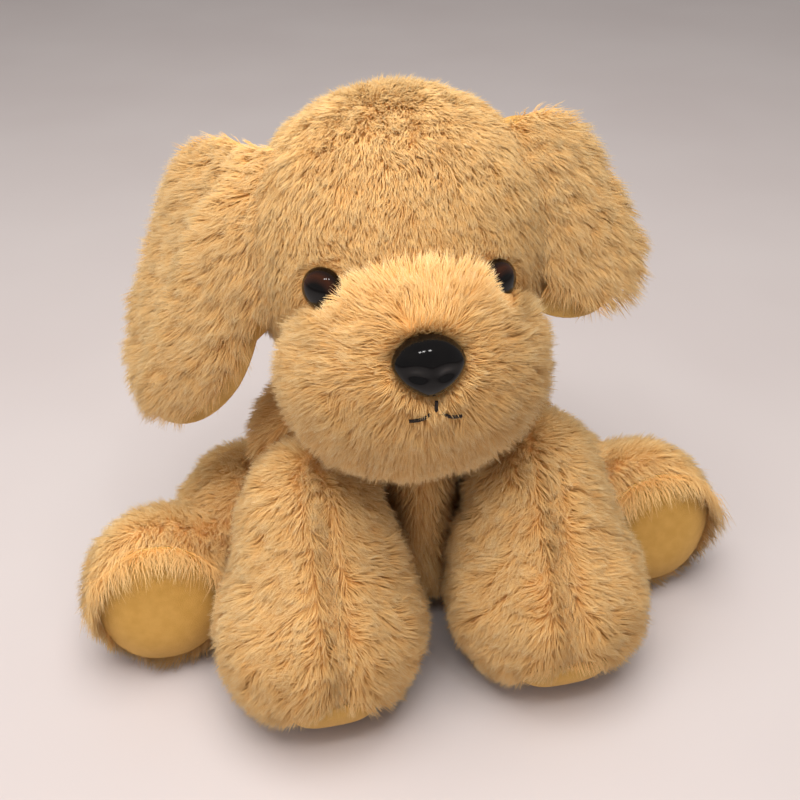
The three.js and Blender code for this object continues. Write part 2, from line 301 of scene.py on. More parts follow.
FUR = fur_material()
# painted shade: the backing takes the roots' deeper colour, for the shade that falls between the
# strands
BACKING = cloth_material(
    "fur_backing", (234, 174, 104), (243, 188, 120), 1800, 0.4 * MM, Roughness=0.95
)
SUEDE = cloth_material(
    "ochre_suede",
    (194, 147, 68),
    (204, 156, 78),
    2600,
    0.25 * MM,
    Roughness=0.9,
    Sheen_Weight=0.5,
    Sheen_Roughness=0.5,
    Sheen_Tint=linear((245, 205, 140)),
)
VELOUR = cloth_material(
    "ear_velour",
    (214, 168, 92),
    (226, 182, 106),
    3000,
    0.25 * MM,
    Roughness=0.9,
    Sheen_Weight=0.5,
    Sheen_Roughness=0.4,
    Sheen_Tint=linear((250, 220, 170)),
)
FILLING = cloth_material("polyester_filling", (226, 222, 214), (246, 244, 240), 700, 1.0 * MM)
THREAD = cloth_material("mouth_thread", (20, 14, 11), (36, 26, 20), 4000, 0.1 * MM, Roughness=0.8)
WASHER = cloth_material(
    "washer_plastic", (236, 236, 234), (244, 244, 242), 900, 0.02 * MM, Roughness=0.4
)


def plastic_material(name, dark, light):
    """Moulded plastic under a hard gloss, with a faint waviness in its surface."""
    made = Shader(name, Roughness=0.08, IOR=1.4, Specular_IOR_Level=0.4)
    made.colour(made.ramp(made.noise(160), [(0.3, dark), (0.7, light)]))
    made.bump(made.noise(90), 0.05 * MM, 0.4)
    return made.material


NOSE_PLASTIC = plastic_material("nose_plastic", (5, 4, 5), (11, 9, 9))


# ---- Skins ----


class Skin:
    """A cloth surface: its points, its triangles and its smooth normals."""

    def __init__(self, points, triangles):
        self.points = points
        self.triangles = triangles
        self.normals = vertex_normals(points, triangles)

    def moved_in(self, depth):
        """The same skin, sunk below itself by a depth for each point."""
        return Skin(self.points - self.normals * np.asarray(depth)[:, None], self.triangles)

    def shrunk(self, depth):
        """The same skin, drawn towards its own middle by a depth."""
        middle = self.points.mean(axis=0)
        return Skin(self.points - unit(self.points - middle) * depth, self.triangles)


def outermost(nodes, subdivisions, rounds):
    """A smooth closed skin over some CAD nodes, as seen from their middle."""
    FAR = 0.4
    points, triangles = node_triangles(nodes)
    tree = BVHTree.FromPolygons(points.tolist(), triangles.tolist())
    centre = (points.min(axis=0) + points.max(axis=0)) / 2
    ways, faces = sphere(subdivisions)
    reach = np.full(len(ways), np.nan)
    for i, way in enumerate(ways):
        hit = tree.ray_cast(Vector(centre + way * FAR), Vector(-way), FAR)
        if hit[0] is not None:
            reach[i] = FAR - hit[3]
    reach[np.isnan(reach)] = np.nanmedian(reach)
    reach = smoothed(reach, faces, rounds)
    return Skin(centre + ways * reach[:, None], faces)


# ---- Strands ----

RINGS = np.array([0.0, 0.55])  # where a strand's rings are, from root to tip
WIDTHS = np.array([0.13, 0.11]) * MM  # the radius at each ring
SIDES = 3
POINTS_EACH = len(RINGS) * SIDES + 1


def strand_faces():
    """One strand's quads between its rings, then its triangles at the tip and across the root."""
    quads = []
    for ring, k in itertools.product(range(len(RINGS) - 1), range(SIDES)):
        here, after = ring * SIDES + k, ring * SIDES + (k + 1) % SIDES
        quads.append((here, after, after + SIDES, here + SIDES))
    last = (len(RINGS) - 1) * SIDES
    tip = [(last + k, last + (k + 1) % SIDES, POINTS_EACH - 1) for k in range(SIDES)]
    return quads, tip + [(2, 1, 0)]


def scatter(skin, density):
    """Random places on a skin, each triangle with its own density: the places and their normals."""
    corners = skin.points[skin.triangles]
    across = np.cross(corners[:, 1] - corners[:, 0], corners[:, 2] - corners[:, 0])
    wanted = np.linalg.norm(across, axis=1) / 2 * density
    counts = np.floor(wanted + rng.random(len(wanted))).astype(int)
    chosen = np.repeat(np.arange(len(wanted)), counts)
    u, v = rng.random((2, len(chosen)))
    over = u + v > 1
    u[over], v[over] = 1 - u[over], 1 - v[over]
    share = np.stack([1 - u - v, u, v], axis=1)[:, :, None]
    places = (corners[chosen] * share).sum(axis=1)
    normals = (skin.normals[skin.triangles[chosen]] * share).sum(axis=1)
    return places, unit(normals)


def nearest(targets, places):
    """For each place, the number of the target nearest to it."""
    tree = kdtree.KDTree(len(targets))
    for i, target in enumerate(targets):
        tree.insert(target, i)
    tree.balance()
    return np.array([tree.find(place)[1] for place in places])


def across_normal(ways, normals):
    """Ways laid flat on the surface, at unit length."""
    flat = ways - normals * (ways * normals).sum(axis=1, keepdims=True)
    return unit(flat)


def even(value):
    return lambda places: np.full(len(places), float(value))


class Pile:
    """How the pile of one covering grows."""

    def __init__(self, flow, length, lean, bend=32, droop=even(0.12), wander=0.34, gather=0.48):
        self.flow = flow  # from places to the ways the pile lies
        self.length = length  # from places to the strands' lengths
        self.lean = lean  # from places to degrees from the normal, at the root
        self.bend = bend  # how many degrees more it is at the tip
        self.droop = droop  # from places to how much the tips sink
        self.wander = wander  # how much the locks' ways differ, in radians
        self.gather = gather  # how closely a tuft's tips come together


TUFT = 2.0 * MM  # from the middle of one tuft to the next
LOCK = 7 * MM  # the same for the larger locks, which lie their own way
SHORTEST = 1.2 * MM
ROOT_DEPTH = 0.3 * MM
LOCK_LENGTH, OWN_LENGTH = 0.07, 0.08  # how much locks and strands differ, as shares of the length
LOCK_LEAN, OWN_LEAN = 4, 9  # the same for their lean, in degrees
OWN_WANDER = 0.28  # the same for the strands' ways, in radians
TUFT_GATHER = 0.5  # how much tufts differ in how closely their tips come together
LOOSEST, TIGHTEST = 0.1, 0.95
GATHER_CURVE = 1.4  # above 1, the tips are drawn together more than the roots
TUFT_TONE, LOCK_TONE, OWN_TONE = 0.12, 0.06, 0.12


def grown(places, normals, pile):
    """The strands' centre lines, as (strand, point from root to tip, xyz), and each one's tone."""
    count = len(places)
    lock = nearest(thinned(places, LOCK), places)
    lock_own = rng.normal(size=(lock.max() + 1, 4))[lock]
    own = rng.normal(size=(count, 4))

    ways = across_normal(pile.flow(places), normals)
    sideways = np.cross(normals, ways)
    turn = (pile.wander * lock_own[:, 0] + OWN_WANDER * own[:, 0])[:, None]
    ways = ways * np.cos(turn) + sideways * np.sin(turn)
    length = pile.length(places) * (1 + LOCK_LENGTH * lock_own[:, 1] + OWN_LENGTH * own[:, 1])
    length = np.maximum(length, SHORTEST)
    lean = np.radians(pile.lean(places) + LOCK_LEAN * lock_own[:, 2] + OWN_LEAN * own[:, 2])
    bend = math.radians(pile.bend)
    droop = pile.droop(places)[:, None]

    stops = [*RINGS, 1.0]
    line = [places - normals * ROOT_DEPTH]
    for start, end in zip(stops[:-1], stops[1:]):
        middle = (start + end) / 2
        angle = (lean + bend * middle)[:, None]
        heading = normals * np.cos(angle) + ways * np.sin(angle) - UP * droop * middle
        line.append(line[-1] + unit(heading) * (length * (end - start))[:, None])
    lines = np.stack(line, axis=1)

    middles = thinned_numbers(places, TUFT)
    tuft = nearest(places[middles], places)
    tuft_own = rng.normal(size=(len(middles), 2))[tuft]
    tightness = np.clip(pile.gather * (1 + TUFT_GATHER * tuft_own[:, 0]), LOOSEST, TIGHTEST)
    drawn = tightness[:, None] * np.array(stops)[None] ** GATHER_CURVE
    lines += (lines[middles][tuft] - lines) * drawn[:, :, None]
    tone = 0.5 + TUFT_TONE * tuft_own[:, 1] + LOCK_TONE * lock_own[:, 3] + OWN_TONE * own[:, 3]
    return lines, np.clip(tone, 0.02, 0.98)


def thinned_numbers(places, spacing):
    """The numbers of a few of the places, about so far apart."""
    reach = np.ptp(places, axis=0)
    area = 2 * (reach[0] * reach[1] + reach[1] * reach[2] + reach[2] * reach[0])
    wanted = min(len(places), max(1, int(0.7 * area / spacing**2)))
    return rng.choice(len(places), wanted, replace=False)


def thinned(places, spacing):
    return places[thinned_numbers(places, spacing)]


FLOOR_CLEAR = 0.4 * MM
SOFTNESS = 0.75  # how far the strands are shaded as one surface


def strands(name, lines, normals, tone):
    """Fine closed tapering strands along the centre lines, as one mesh object."""
    count = len(lines)
    lines[:, :, 2] = np.maximum(lines[:, :, 2], FLOOR_CLEAR)
    tangents = unit(np.diff(lines, axis=1))
    side = unit(np.cross(tangents[:, 0], normals + 1e-4))
    start = rng.random(count) * 2 * math.pi
    co = np.empty((count, POINTS_EACH, 3))
    shading = np.empty_like(co)
    for r, width in enumerate(WIDTHS):
        along = tangents[:, min(r, tangents.shape[1] - 1)]
        rise = unit(np.cross(along, side))
        level = unit(np.cross(rise, along))
        for k in range(SIDES):
            angle = start + k * 2 * math.pi / SIDES
            out = level * np.cos(angle)[:, None] + rise * np.sin(angle)[:, None]
            co[:, r * SIDES + k] = lines[:, r] + out * width
            shading[:, r * SIDES + k] = out
    co[:, -1] = lines[:, -1]
    shading[:, -1] = tangents[:, -1]
    co[:, :, 2] = np.maximum(co[:, :, 2], FLOOR_CLEAR / 2)
    shading = unit(shading * (1 - SOFTNESS) + normals[:, None, :] * SOFTNESS)

    quads, triangles = strand_faces()
    corners = np.array([i for face in quads + triangles for i in face])
    sizes = np.array([len(face) for face in quads + triangles])
    starts = np.concatenate([[0], np.cumsum(sizes)[:-1]])
    all_corners = (corners[None] + np.arange(count)[:, None] * POINTS_EACH).ravel()
    all_starts = (starts[None] + np.arange(count)[:, None] * len(corners)).ravel()

    mesh = bpy.data.meshes.new(name)
    mesh.vertices.add(count * POINTS_EACH)
    mesh.vertices.foreach_set("co", co.ravel())
    mesh.loops.add(len(all_corners))
    mesh.loops.foreach_set("vertex_index", all_corners)
    mesh.polygons.add(len(all_starts))
    mesh.polygons.foreach_set("loop_start", all_starts)
    mesh.polygons.foreach_set("use_smooth", np.ones(len(all_starts), bool))
    mesh.update(calc_edges=True)

    heights = np.append(np.repeat(RINGS, SIDES), 1.0)
    spread = np.append(np.tile(np.linspace(-0.01, 0.01, SIDES), len(RINGS)), 0.0)
    palette = np.empty((count, POINTS_EACH, 2))
    palette[:, :, 0] = tone[:, None] + spread[None]
    # root to tip up the map; the fur's ramp turns low values into painted shade at the roots
    palette[:, :, 1] = 0.01 + 0.98 * heights[None]
    layer = mesh.uv_layers.new(name=PALETTE)
    layer.data.foreach_set("uv", palette.reshape(-1, 2)[all_corners].ravel())
    soft = mesh.attributes.new("custom_normal", "FLOAT_VECTOR", "POINT")
    soft.data.foreach_set("vector", shading.ravel())
    mesh.materials.append(FUR)
    made = bpy.data.objects.new(name, mesh)
    bpy.context.scene.collection.objects.link(made)
    return made


# ---- Padded cloth ----


def puffed(piece, sewn, most):
    """Blows up a cloth pad by simulation, held at its sewn points; no point moves more than most."""
    PRESSURE = 4
    LAST_FRAME = 20
    held = piece.vertex_groups.new(name="sewn")
    held.add(sewn, 1.0, "REPLACE")
    cloth = piece.modifiers.new("cloth", "CLOTH")
    cloth.settings.vertex_group_mass = held.name
    cloth.settings.use_pressure = True
    cloth.settings.uniform_pressure_force = PRESSURE
    cloth.settings.effector_weights.gravity = 0
    for number in range(1, LAST_FRAME + 1):
        bpy.context.scene.frame_set(number)
    blown = piece.evaluated_get(bpy.context.evaluated_depsgraph_get()).data
    before = np.array([v.co for v in piece.data.vertices])
    moved = np.array([v.co for v in blown.vertices]) - before
    reach = np.linalg.norm(moved, axis=1, keepdims=True)
    after = before + moved * np.minimum(1, most / np.maximum(reach, 1e-9))
    piece.modifiers.remove(cloth)
    piece.vertex_groups.remove(held)
    piece.data.vertices.foreach_set("co", after.ravel())
    piece.data.update()
    bpy.context.scene.frame_set(1)


# ---- What the pile grows round ----


def towards(*ways):
    """A flow that is the same way everywhere."""
    way = unit(np.array(ways, float))
    return lambda places: np.tile(way, (len(places), 1))


def away_from(point):
    return lambda places: unit(places - point)


def mixed(*parts):
    """A flow of several, each with its share."""
    return lambda places: sum(share * flow(places) for flow, share in parts)


def distance(places, point):
    return np.linalg.norm(places - point, axis=1)


def beside(places, point, facing):
    """How far places are from the line through a point along a facing."""
    apart = places - point
    return np.linalg.norm(apart - (apart @ facing)[:, None] * facing, axis=1)


def eased(values, low, high):
    """From 0 below low to 1 above high, smoothly."""
    t = np.clip((values - low) / (high - low), 0, 1)
    return t * t * (3 - 2 * t)


# ---- Eyes, nose and mouth ----


def node_middle(name):
    low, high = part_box(name)
    return (np.array(low) + np.array(high)) / 2


EYE_ACROSS = 33
EYE_UP = 2
FACE_TURN = -3
EYE_RADIUS = 7.6 * MM


def eye_facing(side):
    across, up = math.radians(side * EYE_ACROSS + FACE_TURN), math.radians(EYE_UP)
    x, y = math.sin(across) * math.cos(up), -math.cos(across) * math.cos(up)
    return with_head(np.array([x, y, math.sin(up)]), is_direction=True)


EYES = {
    "eye_left": eye_facing(1),
    "eye_right": eye_facing(-1),
}


def frame_of(facing):
    """Two ways square to a facing, level and rising."""
    level = unit(np.cross(UP, facing))
    rise = unit(np.cross(facing, level))
    return level, rise


def eye_material():
    """A black pupil in a brown iris that darkens to the rim, under clear plastic."""
    made = Shader("eye_plastic", Roughness=0.05, IOR=1.4)
    place = made.add("ShaderNodeUVMap", uv_map="dome")
    parts = made.add("ShaderNodeSeparateXYZ")
    made.link(place.outputs["UV"], parts.inputs["Vector"])
    stops = [
        (0.0, (4, 3, 3)),
        (0.50, (5, 3, 3)),
        (0.62, (34, 16, 8)),
        (0.80, (52, 25, 11)),
        (0.93, (24, 11, 6)),
        (1.0, (6, 4, 4)),
    ]
    made.colour(made.ramp(parts.outputs["X"], stops))
    return made.material


EYE_PLASTIC = eye_material()


def turned_dome(name, centre, facing, profile, material):
    """A surface of revolution about a facing; the profile is (radius, height), from its middle."""
    AROUND = 48
    level, rise = frame_of(facing)
    points, faces, shares = [centre + facing * profile[0][1]], [], [0.0]
    widest = max(radius for radius, _ in profile)
    for radius, height in profile[1:]:
        for k in range(AROUND):
            angle = 2 * math.pi * k / AROUND
            out = level * math.cos(angle) + rise * math.sin(angle)
            points.append(centre + facing * height + out * radius)
            shares.append(radius / widest)
    for k in range(AROUND):
        faces.append((0, 1 + k, 1 + (k + 1) % AROUND))
    for r in range(len(profile) - 2):
        for k in range(AROUND):
            a, b = 1 + r * AROUND + k, 1 + r * AROUND + (k + 1) % AROUND
            faces.append((a, a + AROUND, b + AROUND, b))
    last = 1 + (len(profile) - 2) * AROUND
    faces.append(tuple(last + k for k in range(AROUND)))
    made = mesh_object(name, np.array(points), faces, material)
    layer = made.data.uv_layers.new(name="dome")
    for loop in made.data.loops:
        layer.data[loop.index].uv = (shares[loop.vertex_index], 0.5)
    return made


def make_eye(name, facing):
    """A plastic dome with a rounded rim, standing where the CAD's dome does."""
    DOME = 5.6 * MM
    STEPS = 12
    RIM = [(0.98, 1.0 * MM), (0.9, 1.6 * MM)]  # (share of the radius, depth below the dome)
    points, _ = node_triangles([name])
    along = (points - points.mean(axis=0)) @ facing
    top = points.mean(axis=0) + facing * along.max()
    ring = points - facing * ((points - top) @ facing)[:, None]
    middle = (ring.min(axis=0) + ring.max(axis=0)) / 2
    middle = middle + facing * ((top - middle) @ facing)
    profile = []
    for step in range(STEPS + 1):
        angle = math.pi / 2 * step / STEPS
        profile.append((EYE_RADIUS * math.sin(angle), DOME * (math.cos(angle) - 1)))
    profile += [(EYE_RADIUS * share, -DOME - depth) for share, depth in RIM]
    eye = turned_dome(name + "_dome", middle, facing, profile, EYE_PLASTIC)
    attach(eye, "head")
    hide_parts(name)
    return middle


eye_tops = {name: make_eye(name, facing) for name, facing in EYES.items()}


def make_nose():
    """A glossy rounded triangle with two nostrils pressed into its front."""
    NARROWER = 0.26  # the share of its width that it loses towards the bottom
    WIDTH, HEIGHT = 0.95, 0.98  # as shares of the CAD's nose
    BULGE = 7.5 * MM
    TOP_HEAVY = 0.10  # how much further out the top stands
    NOSTRIL = (0.42, -0.20)  # across and up from the middle of a ball of radius 1
    NOSTRIL_RADII = (0.26, 0.20)
    NOSTRIL_DEPTH = 2.0 * MM
    FORWARD = 2.0 * MM
    ways, faces = sphere(4)
    level, rise = frame_of(NOSE_FACING)
    low, high = (np.array(corner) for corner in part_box("nose"))
    centre = (low + high) / 2
    half = (high - low) / 2
    x, y, z = ways[:, 0], ways[:, 1], ways[:, 2]
    narrowing = 1 - NARROWER * eased(-z, -0.2, 1.0)
    across = x * half[0] * WIDTH * narrowing
    upright = z * half[2] * HEIGHT
    outwards = -y * BULGE * (1 + TOP_HEAVY * z)
    for side in (-1, 1):
        beside_it = (x - side * NOSTRIL[0]) / NOSTRIL_RADII[0]
        above_it = (z - NOSTRIL[1]) / NOSTRIL_RADII[1]
        apart = np.hypot(beside_it, above_it)
        outwards -= NOSTRIL_DEPTH * np.exp(-(apart**2)) * (y < 0)
    seated = centre + NOSE_FACING * FORWARD
    points = (
        seated
        + level * across[:, None]
        + rise * upright[:, None]
        + NOSE_FACING * outwards[:, None]
    )
    nose = mesh_object("nose_moulding", points, faces, NOSE_PLASTIC)
    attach(nose, "head")
    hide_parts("nose")


make_nose()


# ---- Coverings ----

PILE = 9.5 * MM
STRANDS = 3.2e6  # to the square metre
FLOOR_SKIN = 3.0 * MM  # how far the cloth stays above the floor, on its own pile
BURIED = 4 * MM  # pile is left off where the cloth is deeper than this inside another covering
SUNK = 0.5  # how deep the cloth is under the CAD's surface, as a share of the pile's length

MOUTH = node_middle("mouth_stitch_middle")
MUZZLE_MIDDLE = with_head(mm(-5, -58, 155))
MUZZLE_RADII = mm(45, 32, 44)
NOSE_CLEAR, MOUTH_CLEAR, EYE_CLEAR = mm(13, 7, 9.5)  # how far round each the pile is shorter
NOSE_SEAT, EYE_SEAT = mm(8.5, 6.6)  # how far round each there is no pile
EYE_DEPTH = 20 * MM  # how far from an eye's top its seat reaches
LEG_SEAM = 44 * MM  # how far from the middle plane the seam of a front leg runs


def clear_of_face(places):
    """1 in open fur, falling to 0 at the eyes and the nose, and some way at the mouth."""
    share = 1 - np.exp(-((beside(places, NOSE, NOSE_FACING) / NOSE_CLEAR) ** 4))
    share = np.minimum(share, 1 - 0.5 * np.exp(-((distance(places, MOUTH) / MOUTH_CLEAR) ** 4)))
    for name, top in eye_tops.items():
        around = beside(places, top, EYES[name]) / EYE_CLEAR
        share = np.minimum(share, 1 - np.exp(-(around**4)))
    return share


def face_length(places):
    return PILE * (0.34 + 0.66 * clear_of_face(places))


def head_length(places):
    """As on the face, and shorter where the muzzle is sewn on."""
    around = np.linalg.norm((places - MUZZLE_MIDDLE) / MUZZLE_RADII, axis=1)
    return face_length(places) * (0.55 + 0.3 * eased(around, 1.05, 1.45))


def under_fittings(places):
    """Where no pile grows, because an eye or the nose sits there."""
    bare = beside(places, NOSE, NOSE_FACING) < NOSE_SEAT
    for name, top in eye_tops.items():
        seat = beside(places, top, EYES[name]) < EYE_SEAT
        bare |= seat & (distance(places, top) < EYE_DEPTH)
    return bare


def muzzle_lean(places):
    """Laid flat by the nose, and standing up at the mouth and towards the rim."""
    by_mouth = np.exp(-((distance(places, MOUTH) / (9 * MM)) ** 2))
    return 52 - 34 * eased(distance(places, NOSE), 12 * MM, 38 * MM) - 22 * by_mouth


def around_eyes(flow):
    """A flow that turns aside at the eyes."""

    def turned(places):
        ways = unit(flow(places))
        for name, top in eye_tops.items():
            near = np.exp(-((beside(places, top, EYES[name]) / (10 * MM)) ** 2))
            ways = ways + 2.5 * near[:, None] * unit(places - top)
        return ways

    return turned


def parted_leg(sign):
    """Down the leg, and away to both sides of the seam on its front; outwards on the paw."""
    seam = sign * LEG_SEAM
    paw = mm(sign * 47, -62, 44)

    def flow(places):
        front = eased(-places[:, 1], 56 * MM, 78 * MM)
        side = np.tanh((places[:, 0] - seam) / (4 * MM)) * front
        low = eased(-places[:, 2], -48 * MM, -18 * MM)[:, None]
        down = np.stack([1.1 * side, -0.1 * front, -np.ones(len(places)) * 0.8], axis=1)
        return down * (1 - 0.5 * low) + 1.1 * low * unit(places - paw)

    return flow


def seam_groove(sign):
    """How deep the sewn line on the front of a leg is drawn in."""
    DEEPEST = 4.5 * MM

    def depth(places):
        beside_seam = (places[:, 0] - sign * LEG_SEAM) / (3.5 * MM)
        front = eased(-places[:, 1], 60 * MM, 76 * MM) * eased(places[:, 2], 22 * MM, 40 * MM)
        return DEEPEST * np.exp(-(beside_seam**2)) * front

    return depth


def over_sole(sole, elsewhere, beside_it, above_it):
    """A value for most of a hind foot's cloth, and others beside its sole and above it."""
    centre, facing, _ = flat_of(sole, node_middle(sole.replace("sole", "stuffing")))

    def value(places):
        near = eased((places - centre) @ facing, -18 * MM, -6 * MM)
        above = eased(places[:, 2] - centre[2], 0, 18 * MM)
        return elsewhere + near * (beside_it + (above_it - beside_it) * above - elsewhere)

    return value


def flat_of(node, inside):
    """A CAD sole's flat: its middle, the way it faces, away from a point inside, and its edge."""
    FLAT = 0.2 * MM
    points, triangles = node_triangles([node])
    a, b, c = (points[triangles[:, k]] for k in range(3))
    facing = np.cross(b - a, c - a)
    areas = np.linalg.norm(facing, axis=1)
    ways = unit(facing)
    alike = (ways @ ways.T > 0.999) @ areas
    way = ways[alike.argmax()]
    if way @ (points.mean(axis=0) - inside) < 0:
        way = -way
    height = points @ way
    edge = points[height > height.max() - FLAT]
    return (edge.min(axis=0) + edge.max(axis=0)) / 2, way, edge


COVERINGS = {
    "torso": {
        "parts": ["cover", "stuffing"],
        "body": "torso",
        "rounds": 14,
        "pile": Pile(
            mixed((towards(0, 0, -1), 1), (away_from(mm(0, 0, 120)), 0.5)),
            even(PILE),
            even(20),
        ),
        "panels": "zyx",
        "share": 0.42,
    },
    "head": {
        "parts": ["cover", "stuffing"],
        "body": "head",
        "rounds": 12,
        "pile": Pile(
            around_eyes(mixed((away_from(CROWN), 1), (towards(0, -0.2, -1), 0.35))),
            head_length,
            even(38),
            wander=0.24,
            gather=0.34,
        ),
        "panels": "zyx",
        "share": 1.05,
        "bare": under_fittings,
    },
    "muzzle": {
        "parts": ["cover", "stuffing"],
        "body": "head",
        "rounds": 10,
        "pile": Pile(away_from(NOSE), face_length, muzzle_lean, bend=26),
        "panels": "zx",
        "share": 1.15,
        "bare": under_fittings,
    },
    "tail": {
        "parts": ["cover", "stuffing"],
        "body": "tail",
        "rounds": 20,
        "pile": Pile(
            mixed((towards(0, 1, 0), 1), (away_from(mm(0, 90, 60)), 0.6)),
            even(PILE * 0.9),
            even(24),
        ),
        "panels": "x",
        "share": 1.0,
    },
}
for side, sign in (("left", 1), ("right", -1)):
    COVERINGS[f"front_leg_{side}"] = {
        "parts": ["cover", "sole", "stuffing"],
        "body": f"front_leg_{side}",
        "rounds": 14,
        "pile": Pile(parted_leg(sign), even(PILE), even(24), wander=0.45),
        "panels": "yx",
        "share": 1.0,
        "groove": seam_groove(sign),
        "crown": 5.0 * MM,
    }
    COVERINGS[f"hind_leg_{side}"] = {
        "parts": ["cover", "sole", "stuffing"],
        "body": f"hind_leg_{side}",
        "rounds": 14,
        "pile": Pile(
            mixed((away_from(mm(sign * 50, 14, 40)), 1), (towards(0, -0.7, -0.35), 0.9)),
            over_sole(f"hind_leg_{side}_sole", PILE, PILE * 1.3, PILE * 1.55),
            even(24),
            bend=36,
            droop=over_sole(f"hind_leg_{side}_sole", 0.12, 0.12, 1.0),
        ),
        "panels": "yx",
        "share": 0.8,
        "crown": 8.0 * MM,
        "fringe": PILE * 1.7,
    }


# ---- Soles ----


class Sole:
    """The patch that closes a foot: its place, the way it faces and its rounded outline."""

    STEPS = 64
    ROUNDING = 12
    COVERED = 0.93  # the share of the outline under which no pile grows
    COVER_DEPTH = 9 * MM
    INSIDE = 0.98  # how large the patch is, as a share of the outline

    def __init__(self, node):
        self.node = node
        inside = node_middle(node.replace("sole", "stuffing"))
        self.centre, self.facing, edge = flat_of(node, inside)
        self.level, self.rise = frame_of(self.facing)
        angles, reach, _ = self.round(edge)
        self.around = np.arange(self.STEPS) * 2 * math.pi / self.STEPS - math.pi
        order = np.argsort(angles)
        outline = np.interp(self.around, angles[order], reach[order], period=2 * math.pi)
        for _ in range(self.ROUNDING):
            outline = (outline + np.roll(outline, 1) + np.roll(outline, -1)) / 3
        self.outline = outline

    def round(self, places):
        """Places as angles and distances about the middle, and heights along the facing."""
        flat = places - self.centre
        height = flat @ self.facing
        flat = flat - self.facing * height[:, None]
        angles = np.arctan2(flat @ self.rise, flat @ self.level)
        return angles, np.linalg.norm(flat, axis=1), height

    def under(self, places):
        """Where the patch covers the leg's cloth, so that no pile grows there."""
        angles, reach, height = self.round(places)
        edge = np.interp(angles, self.around, self.outline, period=2 * math.pi)
        return (reach < edge * self.COVERED) & (height > -self.COVER_DEPTH)

    def fringe(self, body, length):
        """The pile at the seam, which hangs over the patch from above."""
        BAND = 5 * MM
        SPACING = 0.1 * MM
        INSET = 0.5 * MM
        LOWEST = 16 * MM  # how far below the patch's middle the fringe starts
        angles = np.arange(-math.pi, math.pi, SPACING / self.outline.mean())
        angles = angles + rng.normal(size=len(angles)) * SPACING / self.outline.mean()
        out = np.cos(angles)[:, None] * self.level + np.sin(angles)[:, None] * self.rise
        reach = np.interp(angles, self.around, self.outline, period=2 * math.pi)
        back = rng.random(len(angles)) * BAND
        places = self.centre + out * (reach - INSET)[:, None] - self.facing * back[:, None]
        upper = places[:, 2] > self.centre[2] - LOWEST
        places, out = places[upper], out[upper]

        def over(places):
            return eased(places[:, 2] - self.centre[2], -14 * MM, 12 * MM)

        pile = Pile(
            towards(*self.facing),
            lambda places: length * (0.35 + 0.65 * over(places)),
            even(40),
            bend=40,
            droop=lambda places: 0.3 + 1.0 * over(places),
        )
        normals = unit(out + 0.35 * self.facing)
        lines, tone = grown(places, normals, pile)
        made = strands(f"{self.node}_fringe", lines, unit(out + 1.2 * self.facing), tone)
        dress(made, body)

    def patch(self, body, crown):
        """A suede patch, whose profile is a dome as high as its crown.

        The simulation adds next to nothing to the dome: no point moves by more than 0.05 mm.
        """
        THICK = 1.6 * MM
        RINGS_OUT = 16
        SUNK_EDGE = 2.5 * MM
        fronts, backs = [], []
        for ring in range(RINGS_OUT + 1):
            share = math.sin(math.pi / 2 * ring / RINGS_OUT)
            height = crown * math.cos(math.pi / 2 * share**2) - SUNK_EDGE
            for k in range(self.STEPS if ring else 1):
                angle, reach = self.around[k], self.outline[k]
                out = self.level * math.cos(angle) + self.rise * math.sin(angle)
                place = self.centre + out * reach * self.INSIDE * share
                fronts.append(place + self.facing * height)
                backs.append(place + self.facing * (height - THICK))
        points, faces = closed_pad(fronts, backs, disc_faces(RINGS_OUT, self.STEPS), self.STEPS)
        points[:, 2] = np.maximum(points[:, 2], FLOOR_CLEAR)
        made = mesh_object(f"{self.node}_patch", points, faces, SUEDE)
        front_count = len(fronts)
        sewn = [*range(front_count - 2 * self.STEPS, 2 * front_count)]
        puffed(made, sewn, crown * 0.25)
        above_floor(made)
        dress(made, body, self.node)


def disc_faces(rings, around):
    """The triangles of a disc of rings about its first point."""
    faces = [(0, 1 + k, 1 + (k + 1) % around) for k in range(around)]
    for ring in range(rings - 1):
        for k in range(around):
            a, b = 1 + ring * around + k, 1 + ring * around + (k + 1) % around
            faces += [(a, a + around, b + around), (a, b + around, b)]
    return np.array(faces)


def closed_pad(front, back, faces, around):
    """Two discs on the same pattern as one closed pad."""
    count = len(front)
    rim = range(count - around, count)
    sides = []
    for a, b in zip(rim, [*rim[1:], rim[0]]):
        sides += [(a, a + count, b + count), (a, b + count, b)]
    return np.vstack([front, back]), np.vstack([faces, faces[:, ::-1] + count, sides])


def above_floor(piece):
    for vertex in piece.data.vertices:
        vertex.co.z = max(vertex.co.z, FLOOR_CLEAR)


def dress(piece, body, node=None):
    """Attaches a piece to the body it rides on, and hides the CAD node it stands for."""
    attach(piece, body)
    if node:
        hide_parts(node)


# ---- Skins and their pile ----

HALVES = {"z": ("lower", "upper"), "y": ("front", "back"), "x": ("right", "left")}


def grow(name, skin, pile, body, share, panels, hidden=None, bare=None):
    """Grows a covering's pile, as one piece of strands for each panel it is sewn from."""
    density = np.full(len(skin.triangles), STRANDS * share)
    if hidden is not None:
        density[hidden[skin.triangles].all(axis=1)] = 0
    places, normals = scatter(skin, density)
    if bare is not None:
        kept = ~bare(places)
        places, normals = places[kept], normals[kept]
    lines, tone = grown(places, normals, pile)
    numbers = ["xyz".index(axis) for axis in panels]
    beyond = places[:, numbers] > np.median(places[:, numbers], axis=0)
    for halves in itertools.product((0, 1), repeat=len(panels)):
        chosen = (beyond == halves).all(axis=1)
        panel = "_".join(HALVES[axis][half] for axis, half in zip(panels, halves))
        made = strands(f"{name}_fur_{panel}", lines[chosen], normals[chosen], tone[chosen])
        dress(made, body)


